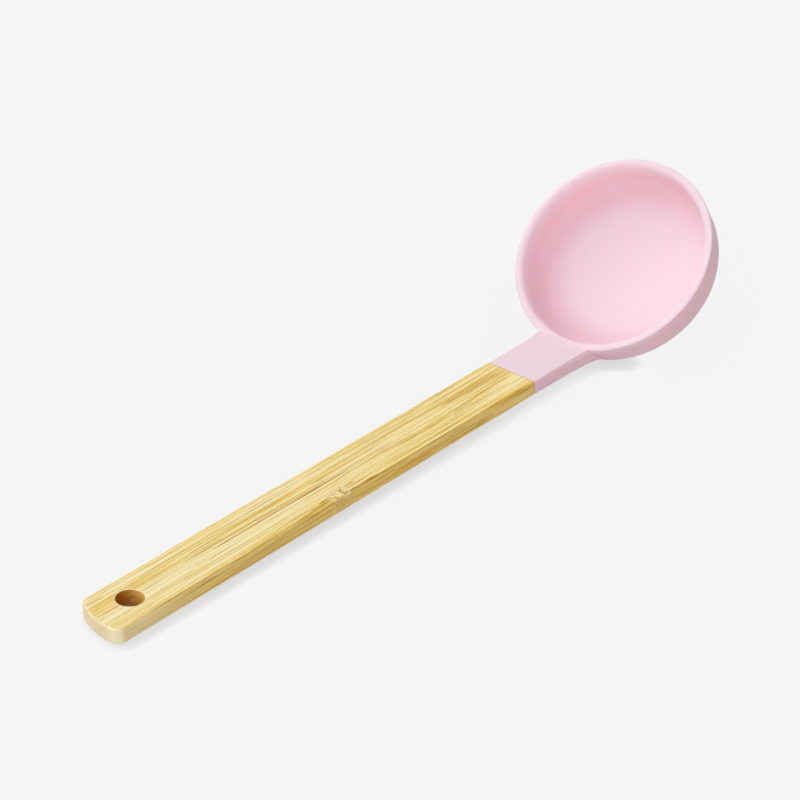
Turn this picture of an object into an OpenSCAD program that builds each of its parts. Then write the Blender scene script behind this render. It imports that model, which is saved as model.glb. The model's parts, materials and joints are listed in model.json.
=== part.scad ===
// Soup ladle: a soft moulded head with a stiff core inside, on a flat handle of four bamboo strips.
// It lies as on a table: the table is z = 0, +X runs from the tail to the bowl, +Y is to the left.
// The pieces are drawn with the handle level and its joint with the head at x = 0, then laid down.

/* [Handle] */
// Length from the tip of the tail to the joint with the head
handle_l = 233; // [180:1:300]
// Width across the four strips, shared by the neck
handle_w = 24; // [20:0.5:32]
// Thickness, shared by the neck
handle_t = 6.2; // [5:0.1:9]
// Rounding of the long edges and of the tail's edges
edge_r = 0.9; // [0.6:0.1:1.6]
// Plan radius of the arc that ends the tail
tail_r = 30; // [25:1:60]
// Side step of that arc's centre from the middle line, which sets the tail a little askew
tail_shift = -6; // [-8:0.5:8]
// Plan radius of the tail's two corners
tail_corner_r = 3.5; // [2.5:0.5:6]

/* [Hanging hole] */
// Diameter of the hole
hole_d = 10.6; // [6:0.2:14]
// Distance from the tip of the tail to the hole's centre
hole_inset = 18; // [13:0.5:30]
// Width of the eased rim at both faces
hole_ease = 0.2; // [0.2:0.1:1]

/* [Neck] */
// Length along the top, from the joint to the crest of the lip
neck_l = 34; // [24:1:60]
// Rounding of the neck's long edges
neck_edge_r = 0.8; // [0.4:0.1:1.6]
// Width of the eased edges of the neck's end at the joint
neck_end_ease = 0.5; // [0.3:0.1:0.8]

/* [Bowl] */
// Outer diameter at the rim
bowl_d = 87; // [70:1:110]
// Angle between the rim and the handle
bowl_tilt = 42.5; // [30:0.5:55]
// Thickness of the wall and of the lip
wall_t = 3.4; // [3:0.1:5]
// Rounding of the lip's outer edge
lip_outer_r = 0.6; // [0.4:0.1:0.8]
// Rounding of the lip's inner edge, which is softer
lip_inner_r = 2.2; // [1:0.1:2.2]
// Lean of the wall, inwards on the way down
wall_draft = 8; // [3:0.5:12]
// Depth at which the wall starts to turn into the floor, on the outside
wall_h = 12; // [8:0.5:16]
// Outer radius of that turn
turn_r = 11; // [9:0.5:24]
// Outer radius of the dished floor
floor_r = 100; // [70:1:160]
// How much thicker the floor is than the wall
floor_extra = 2; // [0:0.5:3]

/* [Core] */
// Thickness of the core in the bowl
core_t = 1.2; // [0.8:0.1:1.6]
// Depth of the core's upper edge below the crest of the lip
core_drop = 4; // [3:0.5:8]
// Soft skin over the core at the neck's top and underside
neck_skin = 1.3; // [0.8:0.1:1.6]
// Soft skin over the core at the neck's sides and at the joint
neck_side_skin = 2; // [1:0.1:4]
// Diameter of the holes that let the soft skins grip each other through the neck
grip_hole_d = 6; // [3:0.5:8]

/* [Tang] */
// Length of the tang inside the handle
tang_l = 46; // [25:1:90]
// Width of the tang
tang_w = 10; // [6:0.5:14]
// Thickness of the tang
tang_t = 2.6; // [1.6:0.1:3]
// Taper of the tang's nose, along the tang and across it
tang_nose = 2; // [1:0.5:3]
// Gap for glue all round the tang
glue_gap = 0.2; // [0.1:0.05:0.4]
// Spare depth of the mortise beyond the tang
mortise_spare = 0.8; // [0.4:0.1:0.9]
// Depth of the glue grooves across the tang
groove_depth = 0.4; // [0.2:0.1:0.5]
// Spacing of the glue grooves
groove_pitch = 10; // [6:1:20]

/* [Hidden] */
$fn = 96;

silicone_pink = [0.95, 0.78, 0.84];
core_ivory = [0.86, 0.85, 0.80];
bamboo_pale = [0.92, 0.80, 0.53];
bamboo_tan = [0.87, 0.73, 0.45];

// Room that cutting shapes reach past what they cut
over = 1;
strip_w = handle_w / 4;

// Plan of the tail: the end arc's centre, and the centres of the corner arcs
tail_centre = [tail_r - handle_l, tail_shift];
// A corner arc crosses the side and the end arc at this angle, so that it ends in a clean edge
corner_cross = 6;
corner_seat = tail_corner_r * cos(corner_cross);
tail_reach = tail_r - corner_seat;
function corner_y(side) = side * (handle_w / 2 - corner_seat);
function corner_centre(side) = [
    tail_centre.x - sqrt(pow(tail_reach, 2) - pow(corner_y(side) - tail_shift, 2)),
    corner_y(side)
];
hole_x = hole_inset - handle_l;

// Half section of the bowl, with the rim plane at y = 0 and the bowl's axis at x = 0
bowl_r = bowl_d / 2;
skin_t = (wall_t - core_t) / 2;
wall_out = [cos(wall_draft), -sin(wall_draft)];
function wall_x(y, inset) = bowl_r + y * tan(wall_draft) - inset / cos(wall_draft);
// Centres of the turn and of the floor, and the direction in which they meet, for a floor that is raised
function turn_c(rise) = [wall_x(rise - wall_h, 0), rise - wall_h] - turn_r * wall_out;
function floor_c(rise) = [0, turn_c(rise).y + sqrt(pow(floor_r - turn_r, 2) - pow(turn_c(rise).x, 2))];
function floor_out(rise) = (turn_c(rise) - floor_c(rise)) / (floor_r - turn_r);
// The lip's crest is midway across the wall
crest_x = wall_x(0, wall_t / 2);
// Centres of the roundings of the lip's edges
lip_outer = [wall_x(-lip_outer_r, lip_outer_r), -lip_outer_r];
lip_inner = [wall_x(-lip_inner_r, wall_t - lip_inner_r), -lip_inner_r];

// The crest of the lip meets the neck's top at its middle, which places the bowl
rim_c = [neck_l + crest_x * cos(bowl_tilt), 0, handle_t + crest_x * sin(bowl_tilt)];
// The neck and the core's neck reach this far past the crest, well inside the wall
neck_reach = 3 * wall_t;
// Room above the rim that cutting shapes need to clear the neck
mouth_h = 2 * handle_t;

// Centres of the outside's turn in the middle plane, on the neck's side (-1) and on the far side (1)
belly_c = turn_c(0);
function turn_centre(side) = [
    rim_c.x + side * belly_c.x * cos(bowl_tilt) - belly_c.y * sin(bowl_tilt),
    rim_c.z + side * belly_c.x * sin(bowl_tilt) + belly_c.y * cos(bowl_tilt)
];

// The ladle lies on the tail's lower edge and on the bowl's belly: the line that touches both is level
tail_low = [edge_r - handle_l, edge_r];
belly = turn_centre(-1) - tail_low;
lie_angle = atan2(belly.y, belly.x) - asin((turn_r - edge_r) / norm(belly));
function laid_x(p) = p.x * cos(lie_angle) + p.y * sin(lie_angle);
function laid_z(p) = p.y * cos(lie_angle) - p.x * sin(lie_angle);
lift = edge_r - laid_z(tail_low);
tail_end = laid_x([tail_low.x, handle_t - edge_r]) - edge_r;
far_end = laid_x(turn_centre(1)) + turn_r;
slide = -(tail_end + far_end) / 2;

// Lays a piece down on the table, with the middle of its length at the origin
module laid() {
    translate([slide, 0, lift]) rotate([0, lie_angle, 0]) children();
}

// A flat bar along X from x0 to x1, with its long edges rounded
module rounded_bar(x0, x1, w, z0, z1, r) {
    translate([x0, 0, 0]) rotate([90, 0, 90]) linear_extrude(x1 - x0) {
        translate([-w / 2 + r, z0]) square([w - 2 * r, z1 - z0]);
        translate([-w / 2, z0 + r]) square([w, z1 - z0 - 2 * r]);
        for (y = [-1, 1] * (w / 2 - r), z = [z0 + r, z1 - r])
            translate([y, z]) circle(r);
    }
}

// A round slab as thick as the handle, with its rim rounded like the handle's edges
module rounded_disc(r) {
    rotate_extrude() {
        square([r - edge_r, handle_t]);
        translate([0, edge_r]) square([r, handle_t - 2 * edge_r]);
        for (z = [edge_r, handle_t - edge_r])
            translate([r - edge_r, z]) circle(edge_r);
    }
}

// What a round corner takes off the tail: a wedge from the corner's centre, less the rounded corner
module corner_cut(side) {
    centre = corner_centre(side);
    along_side = [0, side];
    along_arc = (centre - tail_centre) / tail_reach;
    reach = handle_w * [along_side, along_side + along_arc, along_arc];
    translate([centre.x, centre.y, 0]) difference() {
        translate([0, 0, -over]) linear_extrude(handle_t + 2 * over)
            polygon(concat([[0, 0]], reach));
        rounded_disc(tail_corner_r);
    }
}

// The bar with its end cut to the tail's arc, before its corners are rounded
module arc_ended_bar() {
    intersection() {
        rounded_bar(-handle_l, 0, handle_w, 0, handle_t, edge_r);
        union() {
            translate([tail_centre.x, tail_centre.y, 0]) rounded_disc(tail_r);
            translate([tail_centre.x, -handle_w, 0]) cube([-tail_centre.x, 2 * handle_w, handle_t]);
        }
    }
}

module hanging_hole() {
    rim_r = hole_d / 2 + hole_ease;
    translate([hole_x, 0, 0]) {
        translate([0, 0, -over]) cylinder(d = hole_d, h = handle_t + 2 * over);
        cylinder(r1 = rim_r, r2 = hole_d / 2, h = hole_ease);
        translate([0, 0, handle_t - hole_ease]) cylinder(r1 = hole_d / 2, r2 = rim_r, h = hole_ease);
    }
}

// The slot in the handle's end that takes the tang
module mortise() {
    size = [tang_l + mortise_spare + over, tang_w + 2 * glue_gap, tang_t + 2 * glue_gap];
    translate([over - size.x, -size.y / 2, (handle_t - size.z) / 2]) cube(size);
}

// The whole handle, before it is parted into strips
module handle_blank() {
    difference() {
        arc_ended_bar();
        for (side = [-1, 1])
            corner_cut(side);
        hanging_hole();
        mortise();
    }
}

// One of the four strips, counted from the right-hand edge
module strip(place) {
    laid() intersection() {
        handle_blank();
        translate([-handle_l - over, place * strip_w - handle_w / 2, -over])
            cube([handle_l + over, strip_w, handle_t + 2 * over]);
    }
}

// Half section of a full bowl, cut off level at the top
// Its surface lies inset below the outside, and its floor is raised from there
module bowl_section(inset, top, rise = 0) {
    bend = turn_r - inset;
    bend_c = turn_c(rise);
    dish_c = floor_c(rise);
    dish_out = floor_out(rise);
    low = [0, dish_c.y - floor_r + inset];
    wall_top = [wall_x(top, inset), top];
    intersection() {
        translate(low) square([bowl_d, top - low.y]);
        union() {
            polygon([[0, top], wall_top, bend_c + bend * wall_out, bend_c, bend_c + bend * dish_out, low]);
            translate(bend_c) circle(bend);
            intersection() {
                translate(dish_c) circle(floor_r - inset, $fn = 4 * $fn);
                polygon([dish_c, dish_c + floor_r * dish_out, [bend_c.x, -bowl_d], [0, -bowl_d]]);
            }
        }
    }
}

// Everything inside the bowl down to the inset surface, carried up through the mouth
module bowl_fill(inset) {
    rotate_extrude() bowl_section(inset, mouth_h);
}

// A rounding of the lip, from the flat top round to the wall's face that looks towards out
module lip_rounding(centre, r, out) {
    reach = 2 * r;
    translate(centre) intersection() {
        circle(r);
        polygon([[0, 0], reach * out, reach * (out + [0, 1]), [0, reach]]);
    }
}

// The bowl's wall and floor under a flat lip with rounded edges
module bowl_shell() {
    across = wall_t * wall_out;
    above_lip = [
        lip_inner - across, lip_inner, lip_outer, lip_outer + across,
        [bowl_d, bowl_r], [0, bowl_r]
    ];
    rotate_extrude() {
        difference() {
            bowl_section(0, 0);
            bowl_section(wall_t, over, floor_extra);
            polygon(above_lip);
        }
        polygon([lip_inner, lip_outer, [lip_outer.x, 0], [lip_inner.x, 0]]);
        lip_rounding(lip_outer, lip_outer_r, wall_out);
        lip_rounding(lip_inner, lip_inner_r, -wall_out);
    }
}

// The core's bowl, which lies midway in the wall and fills the thicker floor
module core_shell() {
    rotate_extrude() difference() {
        bowl_section(skin_t, -core_drop);
        bowl_section(skin_t + core_t, over, floor_extra);
    }
}

// Places what is drawn about the bowl's own axis at the end of the neck
module at_bowl() {
    translate(rim_c) rotate([0, -bowl_tilt, 0]) children();
}

// A bar that ends in the middle of the wall, whose middle surface lies inset below the outside
module bar_to_bowl(inset) {
    difference() {
        children();
        at_bowl() bowl_fill(inset);
    }
}

// The neck's flat bar, with its long edges rounded and the edges of its end eased
module neck_bar() {
    ease = neck_end_ease * sqrt(2);
    difference() {
        rounded_bar(0, neck_l + neck_reach, handle_w, 0, handle_t, neck_edge_r);
        for (z = [0, handle_t])
            translate([0, 0, z]) rotate([0, 45, 0])
                cube([ease, handle_w + over, ease], center = true);
        for (y = [-1, 1] * handle_w / 2)
            translate([0, y, handle_t / 2]) rotate([0, 0, 45])
                cube([ease, ease, handle_t + over], center = true);
    }
}

// The tang with its tapered nose and its glue grooves
module tang() {
    half = tang_w / 2;
    grooves = floor((tang_l - tang_nose) / groove_pitch);
    outline = [
        [neck_side_skin, -half], [neck_side_skin, half], [tang_nose - tang_l, half],
        [-tang_l, half - tang_nose], [-tang_l, tang_nose - half], [tang_nose - tang_l, -half]
    ];
    difference() {
        translate([0, 0, (handle_t - tang_t) / 2]) linear_extrude(tang_t) polygon(outline);
        for (i = [1:grooves], face = [-1, 1])
            translate([-i * groove_pitch, 0, (handle_t + face * tang_t) / 2]) rotate([90, 0, 0])
                cylinder(r = groove_depth, h = tang_w + 2 * over, center = true);
    }
}

module core_neck() {
    grip_step = (neck_l - neck_side_skin) / 3;
    length = neck_l + neck_reach - neck_side_skin;
    width = handle_w - 2 * neck_side_skin;
    difference() {
        translate([neck_side_skin, -width / 2, neck_skin])
            cube([length, width, handle_t - 2 * neck_skin]);
        for (i = [1, 2])
            translate([neck_side_skin + i * grip_step, 0, 0]) cylinder(d = grip_hole_d, h = handle_t);
    }
}

// The core: a thin bowl, the neck's stiffener and the tang, in one moulding
module core_body() {
    at_bowl() core_shell();
    bar_to_bowl(wall_t / 2) core_neck();
    tang();
}

module silicone_head() {
    color(silicone_pink) laid() difference() {
        union() {
            at_bowl() bowl_shell();
            bar_to_bowl(wall_t / 2) neck_bar();
        }
        core_body();
    }
}

module head_core() {
    color(core_ivory) laid() core_body();
}

module left_outer_strip() {
    color(bamboo_pale) strip(3);
}

module left_inner_strip() {
    color(bamboo_tan) strip(2);
}

module right_inner_strip() {
    color(bamboo_pale) strip(1);
}

module right_outer_strip() {
    color(bamboo_tan) strip(0);
}

silicone_head();
head_core();
left_outer_strip();
left_inner_strip();
right_inner_strip();
right_outer_strip();
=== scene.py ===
import json
from math import cos, pi, radians, sin, sqrt
from typing import NamedTuple

import bmesh
import bpy
from bpy.props import FloatProperty, FloatVectorProperty, PointerProperty
from mathutils import Matrix, Quaternion, Vector
from mathutils.kdtree import KDTree


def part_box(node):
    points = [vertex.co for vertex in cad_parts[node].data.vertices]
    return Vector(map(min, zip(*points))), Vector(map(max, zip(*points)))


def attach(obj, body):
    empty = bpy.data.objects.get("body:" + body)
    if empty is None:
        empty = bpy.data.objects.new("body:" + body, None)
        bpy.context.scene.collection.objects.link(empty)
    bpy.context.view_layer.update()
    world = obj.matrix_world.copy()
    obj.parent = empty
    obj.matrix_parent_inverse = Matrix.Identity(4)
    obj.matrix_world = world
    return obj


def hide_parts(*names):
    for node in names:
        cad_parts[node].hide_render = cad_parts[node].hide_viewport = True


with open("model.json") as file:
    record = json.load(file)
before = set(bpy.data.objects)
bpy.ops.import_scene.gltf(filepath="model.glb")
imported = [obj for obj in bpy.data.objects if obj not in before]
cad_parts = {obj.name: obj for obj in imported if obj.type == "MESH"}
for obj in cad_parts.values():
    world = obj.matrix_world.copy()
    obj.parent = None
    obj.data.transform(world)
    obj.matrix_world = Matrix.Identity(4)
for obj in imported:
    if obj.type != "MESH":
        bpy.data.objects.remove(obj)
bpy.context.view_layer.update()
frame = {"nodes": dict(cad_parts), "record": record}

bl_info = {
    "name": "Soup Ladle",
    "version": (1, 0, 0),
    "blender": (4, 5, 0),
    "location": "View3D > Sidebar > Ladle",
    "description": "Dresses the soup ladle in moulded silicone and side-pressed bamboo, and sets up its stage",
    "category": "Object",
}

MM = 0.001
TINY = 1e-6

HANGING_HOLE = frame["record"]["mounts"][0]
HANDLE_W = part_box("left_outer_strip")[1].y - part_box("right_outer_strip")[0].y
STRIP_W = HANDLE_W / 4

# Steps of the bowl's section and of its turn about its own axis
FLOOR_STEPS = 16
TURN_STEPS = 20
WALL_STEPS = 6
LIP_STEPS = 7
BOWL_STEPS = 224
BEVEL_STEPS = 5

# Rounds of smoothing on the neck's root, and the turn above which an edge is shaded sharp
ROOT_ROUNDS = 8
SHARP_EDGE = radians(40)

# The floor is a disc, in metres
FLOOR_R = 12
FLOOR_SIDES = 96


def tone(red, green, blue):
    """A colour as it looks on screen, from 0 to 255, as the linear values that Blender works with."""
    def linear(level):
        share = level / 255
        return share / 12.92 if share <= 0.04045 else ((share + 0.055) / 1.055) ** 2.4

    return tuple(linear(level) for level in (red, green, blue))


def length_property(name, description, millimetres):
    return FloatProperty(name=name, description=description, default=millimetres * MM, min=0, unit="LENGTH")


def angle_property(name, description, degrees):
    return FloatProperty(name=name, description=description, default=radians(degrees), subtype="ANGLE", unit="ROTATION")


def level_property(name, description, level):
    return FloatProperty(name=name, description=description, default=level, min=0)


def share_property(name, description, share):
    return FloatProperty(name=name, description=description, default=share, min=0, max=1, subtype="FACTOR")


def colour_property(name, description, red, green, blue):
    return FloatVectorProperty(
        name=name, description=description, default=tone(red, green, blue), size=3, subtype="COLOR", min=0, max=1)


class LadleHead(bpy.types.PropertyGroup):
    """Sizes and colours of the silicone head."""

    neck_l: length_property("Neck Length", "From the joint to the crest of the lip", 34)
    neck_t: length_property("Neck Thickness", "Thickness of the neck and of the handle", 6.2)
    neck_edge_r: length_property("Neck Edge", "Rounding of the neck's long edges", 0.8)
    joint_edge_r: length_property("Joint Edge", "Rounding of the neck's end at the bamboo", 0.5)
    seam_r: length_property("Neck Root", "Reach of the soft fillet where the neck meets the bowl", 1.2)
    bowl_d: length_property("Bowl Diameter", "Outer diameter at the rim", 87)
    bowl_tilt: angle_property("Bowl Tilt", "Angle between the rim and the handle", 42.5)
    wall_t: length_property("Wall", "Thickness of the bowl's wall and lip", 3.4)
    lip_outer_r: length_property("Lip Outer Edge", "Rounding of the lip's outer edge", 0.6)
    lip_inner_r: length_property("Lip Inner Edge", "Rounding of the lip's inner edge", 2.2)
    wall_draft: angle_property("Wall Draft", "Lean of the wall, inwards on the way down", 8)
    wall_h: length_property("Wall Depth", "Depth at which the wall turns into the floor", 12)
    turn_r: length_property("Turn Radius", "Outer radius of the turn from the wall to the floor", 11)
    floor_r: length_property("Floor Radius", "Outer radius of the dished floor", 100)
    floor_extra: length_property("Floor Extra", "How much thicker the floor is than the wall", 2)
    pink: colour_property("Pink", "Colour of the silicone", 241, 217, 226)
    # Painted shade: the bowl's wall and turn and the neck's sides are mixed towards this colour; the soft clouds also
    # vary the tone towards it
    cloud_and_shade_pink: colour_property("Deep Pink", "Colour of the bowl's wall and turn and of the neck's sides", 243, 203, 215)
    core: colour_property("Core", "Colour of the nylon core inside the head", 221, 218, 206)


class LadleBamboo(bpy.types.PropertyGroup):
    """Colours of the bamboo handle."""

    pale: colour_property("Pale Fibre", "Colour of the soft tissue between the fibres", 254, 243, 203)
    straw: colour_property("Straw", "Main colour of the strips", 248, 224, 150)
    tan: colour_property("Tan Fibre", "Colour of the dense fibres", 228, 186, 73)
    amber: colour_property("Amber Fibre", "Colour of the thin dark fibres", 200, 154, 48)
    brown: colour_property("Brown Fibre", "Colour of the darkest fibres and of the curls' outlines", 166, 104, 6)
    # Partly painted shade: this golden tint also stands for the shade on the handle's sides
    skin: colour_property("Cane Skin", "Colour of the outer faces, the skin side of the cane", 250, 206, 104)
    cut: colour_property("Cut Fibre", "Colour of the end grain at the tail", 237, 220, 182)
    drilled: colour_property("Drilled Wall", "Colour of the wall of the hanging hole", 246, 204, 112)
    # Partly painted shade: the hole's wall is mixed towards this colour most on its left
    scorched_and_shaded: colour_property("Scorched Wall", "Colour where that wall is scorched", 186, 106, 14)


class LadleStage(bpy.types.PropertyGroup):
    """Camera, floor and light."""

    azimuth: angle_property("Azimuth", "Compass direction of the view, from +Y towards +X", 50.347)
    elevation: angle_property("Elevation", "How far the view looks down", 29.428)
    roll: angle_property("Roll", "Turn of the camera about its view", 1.613)
    distance: length_property("Distance", "From the camera to the point it looks at", 1129.9)
    aim: FloatVectorProperty(
        name="Aim", description="Point in the middle of the picture", default=(3.2 * MM, 6.99 * MM, 20 * MM),
        size=3, subtype="XYZ", unit="LENGTH")
    lens: FloatProperty(name="Lens", description="Focal length on a 36 mm sensor", default=131.63, unit="CAMERA")
    floor: colour_property("Floor", "Colour of the floor where it is seen", 244, 244, 244)
    backdrop: colour_property("Backdrop", "Colour seen beyond the floor", 244, 244, 244)
    floor_level: level_property("Floor Level", "Strength of the floor's own tone", 1.135)
    floor_glow: share_property(
        "Floor Glow", "How much of the floor's tone is its own, which lightens the shadow on it", 0.8)
    floor_bounce: share_property("Floor Bounce", "How much of the light the floor throws back at the ladle", 0.86)
    contact: share_property("Contact Shadow", "How dark the floor is right beside what lies on it", 0.22)
    contact_reach: length_property("Contact Reach", "How far that shadow reaches", 6)
    hole_shade: colour_property("Hole Shade", "Colour of the floor that shows in the hanging hole", 120, 74, 24)
    key_azimuth: angle_property("Key Azimuth", "Compass direction in which the key light shines", 163)
    key_elevation: angle_property("Key Elevation", "How far the key light shines down", 51)
    key_spread: angle_property("Key Spread", "How wide the key light is, which softens its shadows", 55)
    key_level: level_property("Key Level", "Strength of the key light", 1.56)
    fill_azimuth: angle_property("Fill Azimuth", "Compass direction in which the broad fill light shines", 62)
    fill_elevation: angle_property("Fill Elevation", "How far the fill light shines down, or up if negative", -48)
    fill_level: level_property("Fill Level", "Brightness of the sky where the fill light comes from", 4.55)
    sky_level: level_property("Sky Level", "Brightness of the rest of the sky", 0.46)


def new_object(name, mesh, material=None):
    """An object at the origin that shows the mesh."""
    thing = bpy.data.objects.new(name, mesh)
    bpy.context.scene.collection.objects.link(thing)
    if material:
        mesh.materials.append(material)
    return thing


class Graph:
    """The node tree of a material or of the world, with short calls that add nodes and return their output sockets."""

    def __init__(self, owner):
        owner.use_nodes = True
        self.tree = owner.node_tree
        self.tree.nodes.clear()

    def node(self, kind, inputs=None, **settings):
        made = self.tree.nodes.new(kind)
        for name, value in settings.items():
            setattr(made, name, value)
        for key, value in (inputs or {}).items():
            if isinstance(value, bpy.types.NodeSocket):
                self.tree.links.new(value, made.inputs[key])
            elif hasattr(value, "__len__") and len(made.inputs[key].default_value) == len(value) + 1:
                made.inputs[key].default_value = (*value, 1)
            else:
                made.inputs[key].default_value = value
        return made

    def math(self, operation, *values):
        return self.node("ShaderNodeMath", dict(enumerate(values)), operation=operation).outputs[0]

    def times(self, first, *others):
        """The product of all the values."""
        for other in others:
            first = self.math("MULTIPLY", first, other)
        return first

    def apart(self, first, second):
        """How far apart two values are."""
        return self.math("ABSOLUTE", self.math("SUBTRACT", first, second))

    def hypot(self, x, y):
        """How far a point is from the origin."""
        return self.math("SQRT", self.math("ADD", self.math("POWER", x, 2), self.math("POWER", y, 2)))

    def combine(self, x, y, z):
        return self.node("ShaderNodeCombineXYZ", {"X": x, "Y": y, "Z": z}).outputs[0]

    def noise(self, vector, scale=1.0, detail=2.0, roughness=0.5, distortion=0.0):
        inputs = {"Vector": vector, "Scale": scale, "Detail": detail, "Roughness": roughness, "Distortion": distortion}
        return self.node("ShaderNodeTexNoise", inputs).outputs["Fac"]

    def ease(self, value, start, end, low=0.0, high=1.0):
        """A smooth step from low at start to high at end."""
        inputs = {"Value": value, "From Min": start, "From Max": end, "To Min": low, "To Max": high}
        return self.node("ShaderNodeMapRange", inputs, interpolation_type="SMOOTHSTEP").outputs[0]

    def ramp(self, value, start, end, low=0.0, high=1.0):
        """A straight slope from low at start to high at end."""
        inputs = {"Value": value, "From Min": start, "From Max": end, "To Min": low, "To Max": high}
        return self.node("ShaderNodeMapRange", inputs).outputs[0]

    def mix(self, share, first, second):
        inputs = {0: share, 6: first, 7: second}
        return self.node("ShaderNodeMix", inputs, data_type="RGBA").outputs[2]

    def bump(self, height, strength, distance):
        inputs = {"Height": height, "Strength": strength, "Distance": distance}
        return self.node("ShaderNodeBump", inputs).outputs[0]

    def surface(self, inputs):
        shader = self.node("ShaderNodeBsdfPrincipled", inputs)
        self.node("ShaderNodeOutputMaterial", {"Surface": shader.outputs[0]})


def handle_frame(thickness):
    """Matrix from the handle's own frame to the ladle's: X runs along the handle from the joint, Z is square to it."""
    up = Vector(HANGING_HOLE["axis"])
    along = Vector((up.z, 0, -up.x))
    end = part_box("left_inner_strip")[1]
    joint = Vector((end.x, 0, end.z - thickness * up.z))
    turn = Matrix((along, Vector((0, 1, 0)), up)).transposed()
    return Matrix.Translation(joint) @ turn.to_4x4()


class Dish:
    """The turn and the floor of one of the bowl's two surfaces, which lies inset from the outside."""

    def __init__(self, form, rim, wall_h, inset):
        self.turn_r = form.turn_r - inset
        self.floor_r = form.floor_r - inset
        self.turn_centre = rim - wall_h / form.wall_up.z * form.wall_up - form.turn_r * form.wall_out
        rise = sqrt((self.floor_r - self.turn_r) ** 2 - self.turn_centre.x ** 2)
        self.floor_centre = Vector((0, 0, self.turn_centre.z + rise))
        floor_out = (self.turn_centre - self.floor_centre).normalized()
        self.floor_sweep = floor_out.angle(Vector((0, 0, -1)))
        self.turn_sweep = floor_out.angle(form.wall_out)


class BowlForm:
    """The bowl's half section in the XZ plane, with the rim plane at z = 0 and the bowl's axis at x = 0."""

    def __init__(self, size):
        lean = size.wall_draft
        self.lean = lean
        self.wall_t = size.wall_t
        self.lip_outer_r = size.lip_outer_r
        self.lip_inner_r = size.lip_inner_r
        self.turn_r = size.turn_r
        self.floor_r = size.floor_r
        self.wall_out = Vector((cos(lean), 0, -sin(lean)))
        self.wall_up = Vector((sin(lean), 0, cos(lean)))
        rim = Vector((size.bowl_d / 2, 0, 0))
        self.outside = Dish(self, rim, size.wall_h, 0)
        self.inside = Dish(self, rim, size.wall_h - size.floor_extra, size.wall_t)
        self.crest = rim - Vector((size.wall_t / 2 / cos(lean), 0, 0))
        self.lip_outer = self.lip_centre(rim, size.lip_outer_r, size.lip_outer_r)
        self.lip_inner = self.lip_centre(rim, size.lip_inner_r, size.wall_t - size.lip_inner_r)

    def lip_centre(self, rim, depth, inset):
        """Centre of one of the lip's roundings, at a depth below the rim and inset from the outer wall."""
        centre = rim - inset * self.wall_out
        return centre - (centre.z + depth) / self.wall_up.z * self.wall_up


def carry_round(bm, end, centre, angle, steps):
    """Carries a section on from its end vertex, round a centre in the XZ plane, and returns the new end."""
    arc = bmesh.ops.spin(bm, geom=[end], cent=centre, axis=(0, -1, 0), angle=angle, steps=steps)
    return next(part for part in arc["geom_last"] if isinstance(part, bmesh.types.BMVert))


def carry_straight(bm, end, goal, steps):
    """Carries a section on from its end vertex, straight to a goal, and returns the new end."""
    step = (goal - end.co) / steps
    for _ in range(steps):
        made = bmesh.ops.extrude_vert_indiv(bm, verts=[end])
        bmesh.ops.translate(bm, verts=made["verts"], vec=step)
        end = made["verts"][0]
    return end


def bowl_mesh(form):
    """The bowl, turned from its half section: underside, outer wall, lip, inner wall and floor."""
    bm = bmesh.new()
    down = Vector((0, 0, -1))
    outside, inside = form.outside, form.inside
    end = bm.verts.new(outside.floor_centre + outside.floor_r * down)
    end = carry_round(bm, end, outside.floor_centre, outside.floor_sweep, FLOOR_STEPS)
    end = carry_round(bm, end, outside.turn_centre, outside.turn_sweep, TURN_STEPS)
    end = carry_straight(bm, end, form.lip_outer + form.lip_outer_r * form.wall_out, WALL_STEPS)
    end = carry_round(bm, end, form.lip_outer, pi / 2 + form.lean, LIP_STEPS)
    end = carry_straight(bm, end, form.lip_inner - form.lip_inner_r * down, LIP_STEPS)
    end = carry_round(bm, end, form.lip_inner, pi / 2 - form.lean, LIP_STEPS)
    end = carry_straight(bm, end, inside.turn_centre + inside.turn_r * form.wall_out, WALL_STEPS)
    end = carry_round(bm, end, inside.turn_centre, -inside.turn_sweep, TURN_STEPS)
    carry_round(bm, end, inside.floor_centre, -inside.floor_sweep, FLOOR_STEPS)
    bmesh.ops.spin(
        bm, geom=bm.verts[:] + bm.edges[:], cent=(0, 0, 0), axis=(0, 0, 1), angle=2 * pi, steps=BOWL_STEPS,
        use_merge=True)
    bmesh.ops.remove_doubles(bm, verts=bm.verts, dist=TINY)
    bmesh.ops.recalc_face_normals(bm, faces=bm.faces)
    return bm


def neck_mesh(size, form, bowl_place):
    """The flat neck with its rounded edges, cut off slantwise inside the bowl's wall."""
    bm = bmesh.new()
    length = size.neck_l + size.bowl_d / 2
    bmesh.ops.create_cube(bm, size=1)
    bmesh.ops.scale(bm, vec=(length, HANDLE_W, size.neck_t), verts=bm.verts)
    bmesh.ops.translate(bm, vec=(length / 2, 0, size.neck_t / 2), verts=bm.verts)
    long_edges = [e for e in bm.edges if abs(e.verts[0].co.x - e.verts[1].co.x) > TINY]
    bmesh.ops.bevel(
        bm, geom=long_edges, offset=size.neck_edge_r, offset_type="OFFSET", affect="EDGES", segments=BEVEL_STEPS,
        profile=0.5, material=-1)
    end_edges = [e for e in bm.edges if all(abs(v.co.x) < TINY for v in e.verts)]
    bmesh.ops.bevel(
        bm, geom=end_edges, offset=size.joint_edge_r, offset_type="OFFSET", affect="EDGES", segments=BEVEL_STEPS,
        profile=0.5, material=-1)
    inward = bowl_place.to_3x3() @ Vector((form.wall_out.x, 0, -form.wall_out.z))
    crest = bowl_place @ -form.crest
    wall_share = 0.25
    cut = crest + wall_share * form.wall_t * inward
    everything = bm.verts[:] + bm.edges[:] + bm.faces[:]
    bmesh.ops.bisect_plane(bm, geom=everything, plane_co=cut, plane_no=inward, clear_outer=True)
    bmesh.ops.edgeloop_fill(bm, edges=[e for e in bm.edges if e.is_boundary])
    bmesh.ops.recalc_face_normals(bm, faces=bm.faces)
    return bm


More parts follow.
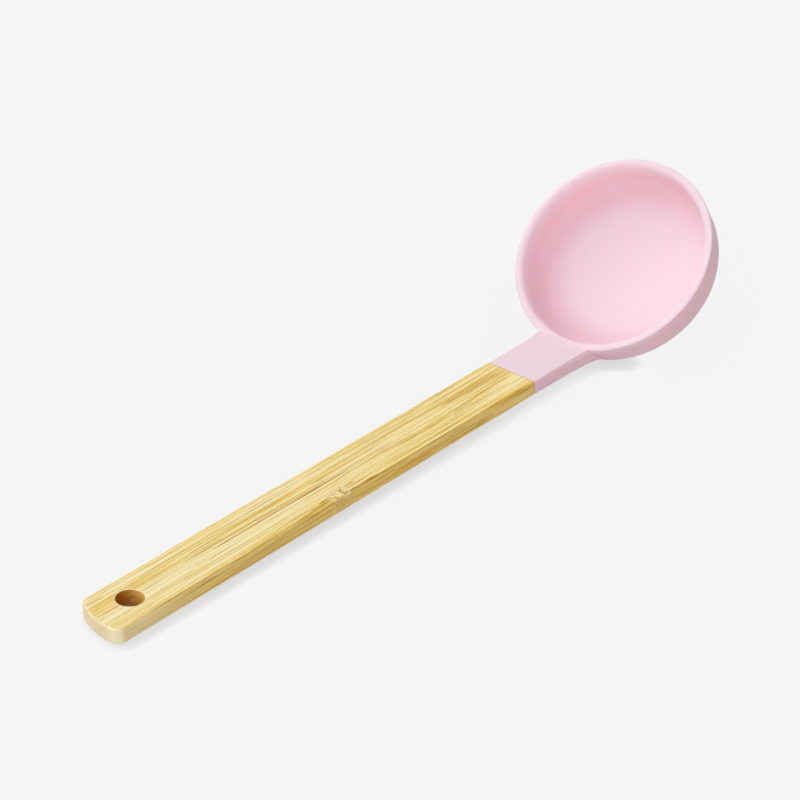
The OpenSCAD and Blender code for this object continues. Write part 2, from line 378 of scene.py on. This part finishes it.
def joined(first, second):
    """The two closed bmeshes as one closed mesh."""
    things = []
    for bm in (first, second):
        mesh = bpy.data.meshes.new("blank")
        bm.to_mesh(mesh)
        bm.free()
        things.append(new_object("blank", mesh))
    union = things[0].modifiers.new("Join", "BOOLEAN")
    union.operation = "UNION"
    union.solver = "EXACT"
    union.object = things[1]
    bpy.context.view_layer.update()
    depsgraph = bpy.context.evaluated_depsgraph_get()
    whole = bpy.data.meshes.new_from_object(things[0].evaluated_get(depsgraph))
    for thing in things:
        bpy.data.meshes.remove(thing.data)
    return whole


def soften_root(bm, reach):
    """Rounds the sharp inner corner where the neck meets the bowl."""
    sharp_turn = radians(18)
    corner = [
        e for e in bm.edges
        if len(e.link_faces) == 2 and not e.is_convex and e.calc_face_angle() > sharp_turn]
    tree = KDTree(2 * len(corner))
    for index, vert in enumerate(v for e in corner for v in e.verts):
        tree.insert(vert.co, index)
    tree.balance()

    def near(vert, distance):
        return tree.find(vert.co)[2] < distance

    around = [e for e in bm.edges if all(near(v, 2 * reach) for v in e.verts)]
    bmesh.ops.subdivide_edges(bm, edges=around, cuts=1, use_grid_fill=True)
    bmesh.ops.triangulate(bm, faces=[f for f in bm.faces if len(f.verts) > 4])
    rounding = [v for v in bm.verts if near(v, reach)]
    for _ in range(ROOT_ROUNDS):
        bmesh.ops.smooth_vert(bm, verts=rounding, factor=0.5, use_axis_x=True, use_axis_y=True, use_axis_z=True)


def own_place(g, lie):
    """Object coordinates in millimetres, in the frame that the matrix places."""
    place = g.node("ShaderNodeTexCoord").outputs["Object"]
    return g.node(
        "ShaderNodeMapping",
        {"Vector": place, "Location": lie.to_translation(), "Rotation": lie.to_euler(), "Scale": (MM, MM, MM)},
        vector_type="TEXTURE").outputs[0]


def silicone_look(head, lie):
    """Matte pink silicone, deeper on walls and sides as painted shade: soft clouds, a fine mould grain and a velvet
    sheen.
    """
    material = bpy.data.materials.new("pink_silicone")
    g = Graph(material)
    own = own_place(g, lie)
    x, y, z = g.node("ShaderNodeSeparateXYZ", {0: own}).outputs
    normal = g.node("ShaderNodeNewGeometry").outputs["Normal"]
    normal_y = g.node("ShaderNodeSeparateXYZ", {0: normal}).outputs["Y"]
    radius = head.bowl_d / 2 / MM
    from_axis = g.hypot(x, y)

    # Painted shade: the wall and the turn are deeper, though less so on the inner right, which the key light meets
    off_floor = g.ease(from_axis, 0.55 * radius, 0.85 * radius)
    below_lip = g.ease(z, -0.03 * radius, -0.15 * radius)
    inside = g.ease(from_axis, 0.97 * radius, 0.93 * radius)
    lit = g.times(inside, g.ease(y, 0, -0.8 * radius))
    wall = g.times(off_floor, below_lip, g.math("MULTIPLY_ADD", lit, -0.7, 1))

    # Painted shade on the neck's sides too
    outside = g.ease(from_axis, 0.94 * radius, 0.97 * radius)
    side = g.times(outside, g.ease(g.math("ABSOLUTE", normal_y), 0.75, 0.95))

    cloud = g.ease(g.noise(own, 0.028, 3), 0.35, 0.65, -0.12, 0.12)
    # Painted shade on the wall and the sides, plus the clouds' random tone
    cloud_and_shade = g.math("ADD", g.math("MAXIMUM", wall, side), cloud)
    grain = g.noise(own, 2.6, 2)
    g.surface({
        "Base Color": g.mix(cloud_and_shade, head.pink, head.cloud_and_shade_pink),
        "Roughness": g.ramp(grain, 0.3, 0.7, 0.52, 0.6),
        "Specular IOR Level": 0.2,
        "Subsurface Weight": 0.5,
        "Subsurface Radius": (1.0, 0.35, 0.45),
        "Subsurface Scale": 4 * MM,
        "Sheen Weight": 0.05,
        "Sheen Roughness": 0.45,
        "Normal": g.bump(grain, 0.08, 0.05 * MM),
    })
    return material


def nylon_look(head):
    """The core's nylon, as moulded: off-white with a slight flow pattern and a dull skin."""
    material = bpy.data.materials.new("core_nylon")
    g = Graph(material)
    place = g.node("ShaderNodeTexCoord").outputs["Object"]
    flow = g.noise(place, 60, 4, distortion=0.6)
    grain = g.noise(place, 1800, 2)
    dark = tuple(0.9 * level for level in head.core)
    g.surface({
        "Base Color": g.mix(g.ease(flow, 0.3, 0.7), dark, head.core),
        "Roughness": g.ramp(grain, 0.3, 0.7, 0.45, 0.6),
        "Normal": g.bump(grain, 0.15, 0.05 * MM),
    })
    return material


class StripLook(NamedTuple):
    """What sets one strip's bamboo apart: its seed, how tan it is, its node's place, reach and strength, and its veins.

    Places are in millimetres: along the handle from the joint, negative towards the tail, and across it to the left.
    A vein is a dark streak: its place across the handle, its two ends, its width and its strength.
    """

    node: str
    seed: float
    tan: float
    knot_x: float
    knot_reach: float
    knot_depth: float
    veins: tuple


STRIP_LOOKS = (
    StripLook("left_outer_strip", seed=3.1, tan=-0.03, knot_x=-209, knot_reach=4, knot_depth=0.45, veins=(
        (6.9, -200, -120, 0.3, 0.7), (8.4, -150, -60, 0.25, 0.6), (10.2, -90, -20, 0.3, 0.6),
        (7.6, -95, -10, 0.25, 0.6), (9.3, -228, -180, 0.25, 0.5))),
    StripLook("left_inner_strip", seed=17.7, tan=0.14, knot_x=-300, knot_reach=3, knot_depth=0, veins=(
        (3.4, -42, 1, 0.7, 0.75), (4.7, -60, -4, 0.3, 0.7), (2.2, -30, 1, 0.4, 0.75),
        (1.5, -190, -105, 0.3, 0.7), (4.2, -185, -130, 0.35, 0.7), (0.7, -150, -70, 0.25, 0.8),
        (3.0, -120, -75, 0.4, 0.7), (5.3, -110, -50, 0.3, 0.6), (2.6, -215, -160, 0.3, 0.6))),
    StripLook("right_inner_strip", seed=41.3, tan=0, knot_x=-41, knot_reach=3.5, knot_depth=0.5, veins=(
        (-0.5, -232, -212, 0.25, 0.8), (-0.4, -175, -95, 0.3, 0.85), (-3.4, -75, -48, 0.35, 0.75),
        (-1.6, -110, -62, 0.3, 0.75), (-4.6, -37, -5, 0.3, 0.6), (-2.4, -150, -100, 0.3, 0.6),
        (-1.2, -32, 0, 0.3, 0.6))),
    StripLook("right_outer_strip", seed=68.9, tan=0.02, knot_x=-115, knot_reach=8, knot_depth=1, veins=(
        (-11.3, -219, -128, 0.5, 0.8), (-11.3, -108, -2, 0.5, 0.8), (-10.9, -116, -92, 0.7, 0.9),
        (-9.9, -133, -117, 0.8, 0.75), (-10.8, -142, -119, 0.5, 0.8), (-8.6, -126, -116, 0.4, 0.85),
        (-7.5, -112, -103, 0.7, 0.8), (-7.1, -200, -150, 0.3, 0.6), (-9.5, -90, -40, 0.3, 0.6))),
)


class BambooShader:
    """Builds one strip's side-pressed bamboo, layer by layer on its colour."""

    def __init__(self, look, bamboo, thickness):
        self.look = look
        self.bamboo = bamboo
        self.material = bpy.data.materials.new(look.node.replace("_strip", "_bamboo"))
        self.g = g = Graph(self.material)
        self.lie = handle_frame(thickness)
        self.own = own_place(g, self.lie)
        self.x, self.y, self.z = g.node("ShaderNodeSeparateXYZ", {0: self.own}).outputs
        self.strip_w = STRIP_W / MM
        self.from_middle = g.math("ABSOLUTE", self.y)
        self.colour = bamboo.pale

        # Near the node the fibres are thrown out of line
        self.from_knot = g.apart(self.x, look.knot_x)
        self.knot = g.ease(self.from_knot, 0.25 * look.knot_reach, look.knot_reach, look.knot_depth, 0)
        self.swirl = g.math("SUBTRACT", g.noise(self.own, 0.42, 2, 0.5, 0.8), 0.5)
        thrown = g.times(self.swirl, self.knot)
        self.flow_x = g.math("MULTIPLY_ADD", thrown, 60, self.x)
        self.flow_y = g.math("MULTIPLY_ADD", thrown, 8, self.y)

        self.fine = self.fibres(60, 0.6, 3.7)
        self.lines = self.fibres(30, 0.55, 53.9, 1)

    def fibres(self, along, across, shift, detail=2.0, roughness=0.5):
        """Noise drawn out along the strip: its features are about so long and so wide."""
        g = self.g
        vector = g.combine(
            g.math("MULTIPLY_ADD", self.flow_x, 1 / along, self.look.seed + shift),
            g.math("MULTIPLY_ADD", self.flow_y, 1 / across, shift),
            g.times(self.z, 1 / across))
        return g.noise(vector, 1, detail, roughness)

    def tint(self, share, strength, shade):
        """Mixes a shade into the colour."""
        self.colour = self.g.mix(self.g.times(share, strength), self.colour, shade)

    def lay_fibres(self):
        """Pale tissue, straw and tan, with thin amber lines: closer towards the cane's skin and towards the joint."""
        g, bamboo, tan = self.g, self.bamboo, self.look.tan
        broad = self.fibres(110, 1.6, 11.3, 3, 0.6)
        patch = self.fibres(60, 3.2, 29.1)
        pores = self.fibres(1.3, 0.4, 37.3, 1)
        density = g.ease(self.from_middle, 1.6 * self.strip_w, 1.95 * self.strip_w, 0.39 + tan, 0.57 + tan)
        density = g.math("ADD", density, g.ease(self.x, -140, -80, 0, 0.13))
        for layer, weight in ((self.fine, 2.0), (broad, 1.5), (patch, 0.6), (pores, 0.6)):
            density = g.math("ADD", g.math("MULTIPLY_ADD", layer, weight, -weight / 2), density)
        self.colour = g.mix(g.ramp(density, 0, 0.5), self.colour, bamboo.straw)
        self.colour = g.mix(g.ramp(density, 0.5, 1), self.colour, bamboo.tan)
        self.tint(g.times(g.ease(self.lines, 0.62, 0.7), g.ease(patch, 0.4, 0.58)), 0.8, bamboo.amber)

    def lay_veins(self):
        """Single dark veins, uneven along their length: the strongest are brown."""
        g, bamboo = self.g, self.bamboo
        drift = g.math("MULTIPLY_ADD", self.fibres(40, 8, 71.3), 0.8, -0.4)
        strand = g.math("ADD", self.flow_y, drift)
        patchy = g.ease(self.fibres(14, 0.6, 83.1), 0.3, 0.6, 0.4, 1)
        for middle, start, end, width, strength in self.look.veins:
            taper = min(0.3 * (end - start), 8)
            body = g.ease(g.apart(strand, middle), width, 0.4 * width)
            span = g.times(g.ease(self.x, start, start + taper), g.ease(self.x, end, end - taper))
            shade = bamboo.brown if strength > 0.8 else bamboo.amber
            self.tint(g.times(body, span, patchy), 1.3 * strength, shade)

    def lay_node(self):
        """The node: a golden patch of pale curls with broken brown outlines."""
        g, bamboo = self.g, self.bamboo
        middle = sum(corner.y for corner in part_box(self.look.node)) / 2 / MM
        spread = g.hypot(g.times(self.from_knot, 0.6), g.math("SUBTRACT", self.y, middle))
        curl = g.math("FRACT", g.math("MULTIPLY_ADD", self.swirl, 5, g.times(spread, 0.5)))
        from_curl = g.apart(curl, 0.5)
        broken = g.ease(g.noise(self.own, 0.8, 2), 0.38, 0.54)
        outline = g.times(g.ease(from_curl, 0.34, 0.46), broken, g.math("POWER", self.knot, 3))
        self.tint(g.math("POWER", self.knot, 2), 0.45, bamboo.tan)
        self.tint(g.times(g.ease(from_curl, 0.3, 0.12), self.knot), 0.8, bamboo.pale)
        self.tint(outline, 0.95, bamboo.brown)

    def lay_skin(self):
        """The outer faces: the tough, golden and streaked skin side of the cane, whose tint also stands in for the
        shade on the sides, paled towards the tail as painted light.
        """
        g, bamboo = self.g, self.bamboo
        skin = g.ease(self.from_middle, 1.95 * self.strip_w, 1.99 * self.strip_w)
        # Partly painted shade: the golden tint on the outer faces also stands for the shade on the sides
        self.tint(skin, 0.55, bamboo.skin)
        self.tint(g.times(skin, g.ease(self.lines, 0.5, 0.66)), 0.55, bamboo.brown)
        # Painted light: the outer faces are paled towards the tail
        self.tint(g.times(skin, g.ease(self.x, -185, -226)), 0.5, bamboo.pale)

    def lay_end_grain(self):
        """The tail's end shows the cut fibres as pale speckled grain, paled further towards its right corner as painted
        light.
        """
        g, bamboo = self.g, self.bamboo
        normal = g.node("ShaderNodeNewGeometry").outputs["Normal"]
        tailward = -self.lie.to_3x3().col[0]
        facing = g.node("ShaderNodeVectorMath", {0: normal, 1: tailward}, operation="DOT_PRODUCT").outputs["Value"]
        end_grain = g.ease(facing, 0.1, 0.45)
        speckle = g.ease(g.noise(self.own, 2.2, 2, 0.7), 0.45, 0.7, 0, 0.6)
        # Painted light: the end grain is paler towards the right corner
        cut = g.mix(g.ease(self.y, -0.5 * self.strip_w, -1.8 * self.strip_w), bamboo.cut, bamboo.pale)
        self.colour = g.mix(end_grain, self.colour, g.mix(speckle, cut, bamboo.straw))
        return end_grain

    def lay_glue_and_joint_shade(self):
        """Faint glue lines on the three seams between the strips, and a dark line of painted shade in the crease where
        the head begins.
        """
        g, half = self.g, self.strip_w / 2
        seam = g.math("ABSOLUTE", g.math("WRAP", self.y, half, -half))
        inner = g.ease(self.from_middle, 1.6 * self.strip_w, 1.5 * self.strip_w)
        glue = g.times(g.ease(seam, 0.16, 0.05), inner)
        self.tint(glue, 0.35, self.bamboo.brown)
        # Painted shade in the crease where the head meets the bamboo
        self.tint(g.ease(self.x, -0.6, -0.1), 0.35, self.bamboo.brown)
        return glue

    def lay_hole(self):
        """The hanging hole: a pale eased rim, painted as a highlight, round a wall burnt by the drill and darkened most
        on its left by painted shade.
        """
        g, bamboo = self.g, self.bamboo
        radius = HANGING_HOLE["dims"]["r_mm"]
        middle = self.lie.inverted() @ Vector(HANGING_HOLE["pos_m"]) / MM
        ahead = g.math("SUBTRACT", self.x, middle.x)
        from_hole = g.hypot(ahead, self.y)
        # Painted highlight: the eased rim is paled
        rim = g.ease(from_hole, radius + 0.7, radius + 0.25)
        wall = g.ease(from_hole, radius + 0.12, radius + 0.02)
        # Painted shade: the wall is darkened towards its left, over the burn from the drill
        rightward = g.math("SUBTRACT", g.times(ahead, 0.64), g.times(self.y, 0.77))
        uneven = g.math("MULTIPLY_ADD", g.noise(self.own, 0.7, 3), 6, -3)
        scorch_and_shade = g.ease(g.math("ADD", rightward, uneven), -0.9 * radius, 0.9 * radius)
        self.tint(rim, 0.6, bamboo.pale)
        self.colour = g.mix(wall, self.colour, g.mix(scorch_and_shade, bamboo.scorched_and_shaded, bamboo.drilled))

    def build(self):
        """Lays the layers in their order and returns the material."""
        g = self.g
        self.lay_fibres()
        self.lay_veins()
        self.lay_node()
        self.lay_skin()
        end_grain = self.lay_end_grain()
        glue = self.lay_glue_and_joint_shade()
        self.lay_hole()
        height = g.math("SUBTRACT", self.fine, g.times(glue, 0.5))
        grained = g.times(g.math("SUBTRACT", 1, end_grain), g.math("SUBTRACT", 1, self.knot))
        g.surface({
            "Base Color": self.colour,
            "Roughness": g.ramp(self.fine, 0.3, 0.7, 0.42, 0.56),
            "Specular IOR Level": 0.15,
            "Normal": g.bump(g.times(height, grained), 0.3, 0.1 * MM),
        })
        return self.material


class LADLE_OT_head(bpy.types.Operator):
    """Model the silicone head: the bowl turned from its section, and the neck run into its wall"""

    bl_idname = "ladle.head"
    bl_label = "Silicone Head"

    def execute(self, context):
        size = context.scene.ladle_head
        form = BowlForm(size)
        reach = form.crest.x
        rim_centre = Vector((
            size.neck_l + reach * cos(size.bowl_tilt), 0, size.neck_t + reach * sin(size.bowl_tilt)))
        bowl_place = Matrix.Translation(rim_centre) @ Matrix.Rotation(-size.bowl_tilt, 4, "Y")
        bowl = bowl_mesh(form)
        bmesh.ops.transform(bowl, matrix=bowl_place, verts=bowl.verts)
        whole = joined(bowl, neck_mesh(size, form, bowl_place))
        bm = bmesh.new()
        bm.from_mesh(whole)
        soften_root(bm, size.seam_r)
        lie = handle_frame(size.neck_t)
        bmesh.ops.transform(bm, matrix=lie, verts=bm.verts)
        for face in bm.faces:
            face.smooth = True
        bm.to_mesh(whole)
        bm.free()
        whole.set_sharp_from_angle(angle=SHARP_EDGE)
        head = new_object("silicone_skin", whole, silicone_look(size, lie @ bowl_place))
        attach(head, "root")
        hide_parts("silicone_head")
        return {"FINISHED"}


class LADLE_OT_core(bpy.types.Operator):
    """Dress the core inside the head in dull nylon"""

    bl_idname = "ladle.core"
    bl_label = "Nylon Core"

    def execute(self, context):
        core = frame["nodes"]["head_core"]
        core.material_slots[0].material = nylon_look(context.scene.ladle_head)
        return {"FINISHED"}


class LADLE_OT_strips(bpy.types.Operator):
    """Dress the handle's four strips in bamboo, each with its own fibres and node"""

    bl_idname = "ladle.strips"
    bl_label = "Bamboo Strips"

    def execute(self, context):
        thickness = context.scene.ladle_head.neck_t
        for look in STRIP_LOOKS:
            strip = frame["nodes"][look.node]
            strip.material_slots[0].material = BambooShader(look, context.scene.ladle_bamboo, thickness).build()
        return {"FINISHED"}


def seen(g):
    """1 for rays that show a surface, straight or by gloss or glass, and 0 for its light on other things."""
    path = g.node("ShaderNodeLightPath").outputs
    return g.math("MAXIMUM", path["Is Camera Ray"], g.math(
        "MAXIMUM", path["Is Glossy Ray"], path["Is Transmission Ray"]))


def view_direction(azimuth, elevation):
    """Where a view goes that looks down from a compass direction."""
    return Vector((sin(azimuth) * cos(elevation), cos(azimuth) * cos(elevation), -sin(elevation)))


class LADLE_OT_stage(bpy.types.Operator):
    """Set up the camera, the pale floor and the soft studio light"""

    bl_idname = "ladle.stage"
    bl_label = "Stage"

    def execute(self, context):
        stage = context.scene.ladle_stage
        self.make_camera(context.scene, stage)
        floor = self.make_floor(stage)
        self.make_light(context.scene, stage, floor)
        context.scene.view_settings.view_transform = "Standard"
        return {"FINISHED"}

    def make_camera(self, scene, stage):
        lens = bpy.data.cameras.new("camera")
        lens.lens = stage.lens
        camera = bpy.data.objects.new("camera", lens)
        scene.collection.objects.link(camera)
        view = view_direction(stage.azimuth, stage.elevation)
        camera.location = Vector(stage.aim) - stage.distance * view
        camera.rotation_mode = "QUATERNION"
        camera.rotation_quaternion = view.to_track_quat("-Z", "Y") @ Quaternion((0, 0, 1), stage.roll)
        scene.camera = camera

    def make_floor(self, stage):
        bm = bmesh.new()
        bmesh.ops.create_circle(bm, cap_ends=True, radius=FLOOR_R, segments=FLOOR_SIDES)
        mesh = bpy.data.meshes.new("floor")
        bm.to_mesh(mesh)
        bm.free()
        material = bpy.data.materials.new("pale_floor")
        g = Graph(material)
        bounce = (stage.floor_bounce,) * 3
        paper = g.node("ShaderNodeBsdfDiffuse", {"Color": g.mix(seen(g), bounce, stage.floor)})
        upright = g.node("ShaderNodeNewGeometry").outputs["Normal"]
        to_key = -view_direction(stage.key_azimuth, 0)
        lean = g.node("ShaderNodeVectorMath", {0: upright, 1: to_key}, operation="ADD").outputs[0]
        beside = g.node(
            "ShaderNodeAmbientOcclusion", {"Distance": stage.contact_reach, "Normal": lean}, samples=6).outputs["AO"]
        contact = g.ease(beside, 0.55, 0.95, 1 - stage.contact, 1)
        # Painted shade: what the hanging hole shows of the floor is tinted as if lit through the hole alone and by its
        # wall
        hole = g.node("ShaderNodeVectorMath", {
            0: g.node("ShaderNodeTexCoord").outputs["Object"], 1: HANGING_HOLE["pos_m"]}, operation="DISTANCE")
        hole_r = HANGING_HOLE["dims"]["r_mm"] * MM
        open_floor = g.ease(hole.outputs["Value"], 1.3 * hole_r, 1.8 * hole_r)
        tint = g.mix(open_floor, stage.hole_shade, stage.floor)
        glow = g.node(
            "ShaderNodeEmission", {"Color": g.mix(contact, (0, 0, 0), tint), "Strength": stage.floor_level})
        share = g.times(seen(g), stage.floor_glow)
        both = g.node("ShaderNodeMixShader", {0: share, 1: paper.outputs[0], 2: glow.outputs[0]})
        g.node("ShaderNodeOutputMaterial", {"Surface": both.outputs[0]})
        floor = new_object("floor", mesh, material)
        return floor

    def make_light(self, scene, stage, floor):
        key_from = -view_direction(stage.key_azimuth, stage.key_elevation)
        fill_from = -view_direction(stage.fill_azimuth, stage.fill_elevation)
        world = bpy.data.worlds.new("soft_studio")
        scene.world = world
        g = Graph(world)
        direction = g.node("ShaderNodeTexCoord").outputs["Generated"]
        facing = g.node("ShaderNodeVectorMath", {0: direction, 1: fill_from}, operation="DOT_PRODUCT").outputs["Value"]
        level = g.ease(facing, 0.05, 1.0, stage.sky_level, stage.fill_level)
        colour = g.mix(seen(g), level, stage.backdrop)
        background = g.node("ShaderNodeBackground", {"Color": colour, "Strength": 1.0})
        g.node("ShaderNodeOutputWorld", {"Surface": background.outputs[0]})
        lamp = bpy.data.lights.new("key", "SUN")
        lamp.energy = stage.key_level
        lamp.angle = stage.key_spread
        key = bpy.data.objects.new("key", lamp)
        key.rotation_mode = "QUATERNION"
        key.rotation_quaternion = (-key_from).to_track_quat("-Z", "Y")
        scene.collection.objects.link(key)
        # The floor is lit by the sky alone, so that it keeps the close shadow of what lies on it
        unlit = bpy.data.collections.new("not_lit_by_key")
        unlit.objects.link(floor)
        key.light_linking.receiver_collection = unlit
        unlit.collection_objects[0].light_linking.link_state = "EXCLUDE"


class LADLE_PT_panel(bpy.types.Panel):
    """Lists the ladle's pieces and what can be changed on them"""

    bl_idname = "LADLE_PT_panel"
    bl_label = "Soup Ladle"
    bl_space_type = "VIEW_3D"
    bl_region_type = "UI"
    bl_category = "Ladle"

    def draw(self, context):
        for settings, operators in (
            (context.scene.ladle_head, (LADLE_OT_head, LADLE_OT_core)),
            (context.scene.ladle_bamboo, (LADLE_OT_strips,)),
            (context.scene.ladle_stage, (LADLE_OT_stage,)),
        ):
            box = self.layout.box()
            for name in settings.bl_rna.properties.keys():
                if name not in ("rna_type", "name"):
                    box.prop(settings, name)
            for operator in operators:
                box.operator(operator.bl_idname)


CLASSES = (
    LadleHead, LadleBamboo, LadleStage,
    LADLE_OT_head, LADLE_OT_core, LADLE_OT_strips, LADLE_OT_stage, LADLE_PT_panel,
)


def register():
    for cls in CLASSES:
        bpy.utils.register_class(cls)
    bpy.types.Scene.ladle_head = PointerProperty(type=LadleHead)
    bpy.types.Scene.ladle_bamboo = PointerProperty(type=LadleBamboo)
    bpy.types.Scene.ladle_stage = PointerProperty(type=LadleStage)


def unregister():
    del bpy.types.Scene.ladle_stage
    del bpy.types.Scene.ladle_bamboo
    del bpy.types.Scene.ladle_head
    for cls in reversed(CLASSES):
        bpy.utils.unregister_class(cls)


def main():
    register()
    bpy.ops.ladle.head()
    bpy.ops.ladle.core()
    bpy.ops.ladle.strips()
    bpy.ops.ladle.stage()


if __name__ == "__main__":
    main()
